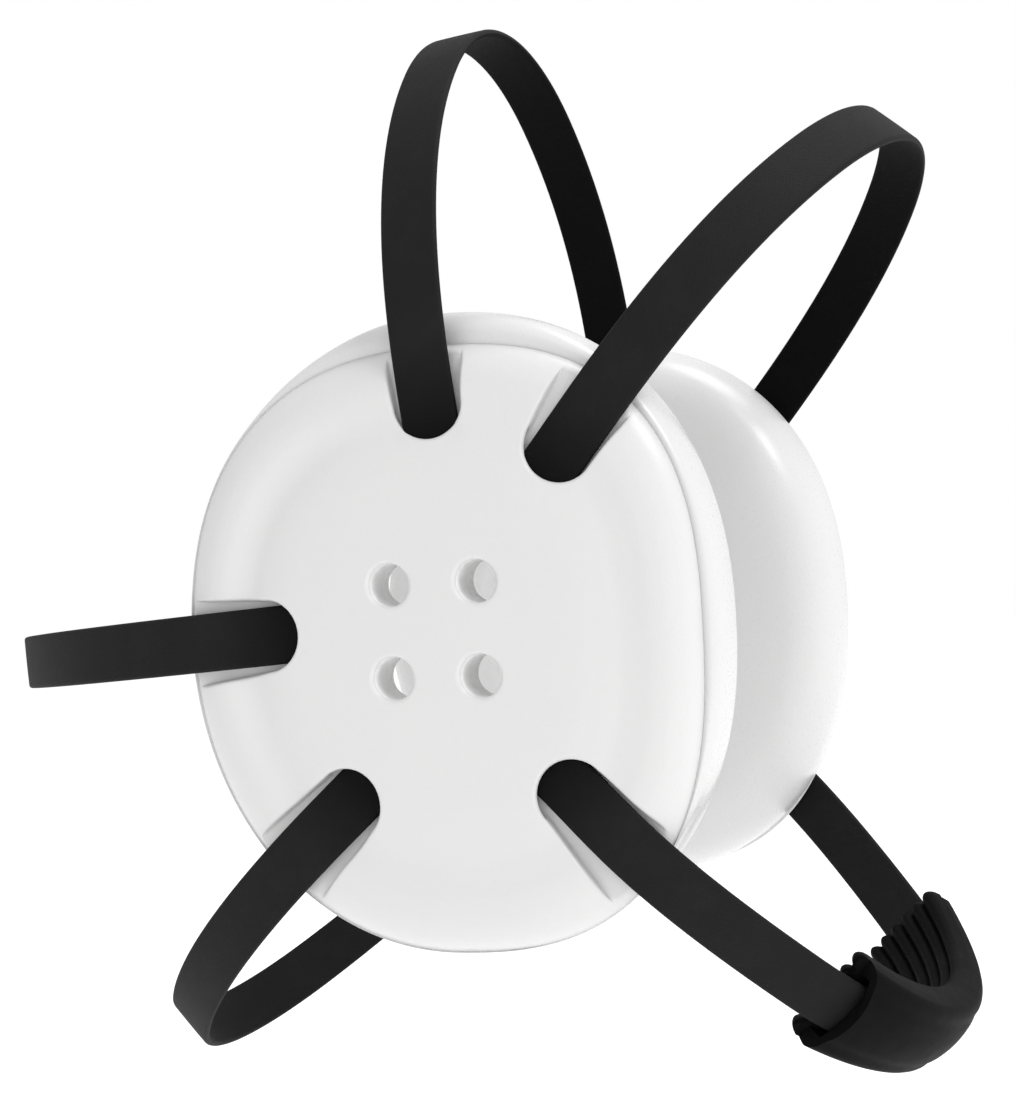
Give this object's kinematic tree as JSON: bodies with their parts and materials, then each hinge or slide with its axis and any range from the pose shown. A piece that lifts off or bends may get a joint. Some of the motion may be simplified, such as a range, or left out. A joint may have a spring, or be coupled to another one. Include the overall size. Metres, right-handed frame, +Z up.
{
  "type": "wrestling headgear",
  "caption": "Wrestling ear guard headgear: padded ear cups joined by webbing straps, with a ribbed chin cup on the chin strap.",
  "frame": {"origin": "middle of the head space, halfway between the two ear cups at the level of the hearing holes", "axes": "+X towards the wearer's left ear, -Y towards the face, +Z up through the crown"},
  "size_m": [0.1334, 0.2284, 0.2385],
  "materials": {
    "cover_vinyl": "smooth moulded vinyl skin over foam, satin gloss",
    "pad_vinyl": "soft vinyl, fine leather grain, satin gloss",
    "foam": "closed-cell foam, matt",
    "hard_plastic": "moulded plastic, satin",
    "eyelet_metal": "nickel plated",
    "webbing": "flat woven nylon webbing, close weave",
    "chin_rubber": "moulded soft rubber, semi matt"
  },
  "bodies": {
    "cups": {"left_outer_cover": "cover_vinyl", "left_hard_shell": "hard_plastic", "left_strap_posts": "hard_plastic", "left_pad_foam": "foam", "left_pad_skin": "pad_vinyl", "left_ear_liner": "foam", "right_outer_cover": "cover_vinyl", "right_hard_shell": "hard_plastic", "right_strap_posts": "hard_plastic", "right_pad_foam": "foam", "right_pad_skin": "pad_vinyl", "right_ear_liner": "foam"},
    "crown": {"crown_strap": "webbing", "crown_eyelets": "eyelet_metal"},
    "forehead": {"forehead_strap": "webbing", "forehead_eyelets": "eyelet_metal"},
    "upper_back": {"upper_back_strap": "webbing", "upper_back_eyelets": "eyelet_metal"},
    "lower_back": {"lower_back_strap": "webbing", "lower_back_eyelets": "eyelet_metal"},
    "chin_strap_body": {"chin_strap": "webbing", "chin_eyelets": "eyelet_metal"},
    "chin_cup": {"chin_cup_outer": "chin_rubber", "chin_cup_liner": "chin_rubber"}
  },
  "joints": [
    {"name": "crown_swing", "type": "hinge", "parent": "cups", "child": "crown", "pos_m": [0, -0.00158, 0.03255], "axis": [1, 0, 0], "range_deg": [-5, 5]},
    {"name": "forehead_swing", "type": "hinge", "parent": "cups", "child": "forehead", "pos_m": [0, -0.01995, 0.02465], "axis": [1, 0, 0], "range_deg": [-8.5, 1.5]},
    {"name": "upper_back_swing", "type": "hinge", "parent": "cups", "child": "upper_back", "pos_m": [0, 0.0244, 0.00105], "axis": [1, 0, 0], "range_deg": [-5, 5]},
    {"name": "lower_back_swing", "type": "hinge", "parent": "cups", "child": "lower_back", "pos_m": [0, 0.0113, -0.02607], "axis": [1, 0, 0], "range_deg": [-5, 5]},
    {"name": "chin_swing", "type": "hinge", "parent": "cups", "child": "chin_strap_body", "pos_m": [0, -0.01816, -0.02382], "axis": [1, 0, 0], "range_deg": [-1.5, 8.5]},
    {"name": "chin_cup_slide", "type": "hinge", "parent": "chin_strap_body", "child": "chin_cup", "pos_m": [0, -0.04804, -0.05391], "axis": [0, 0.7096, -0.7046], "range_deg": [-7, 7]}
  ]
}
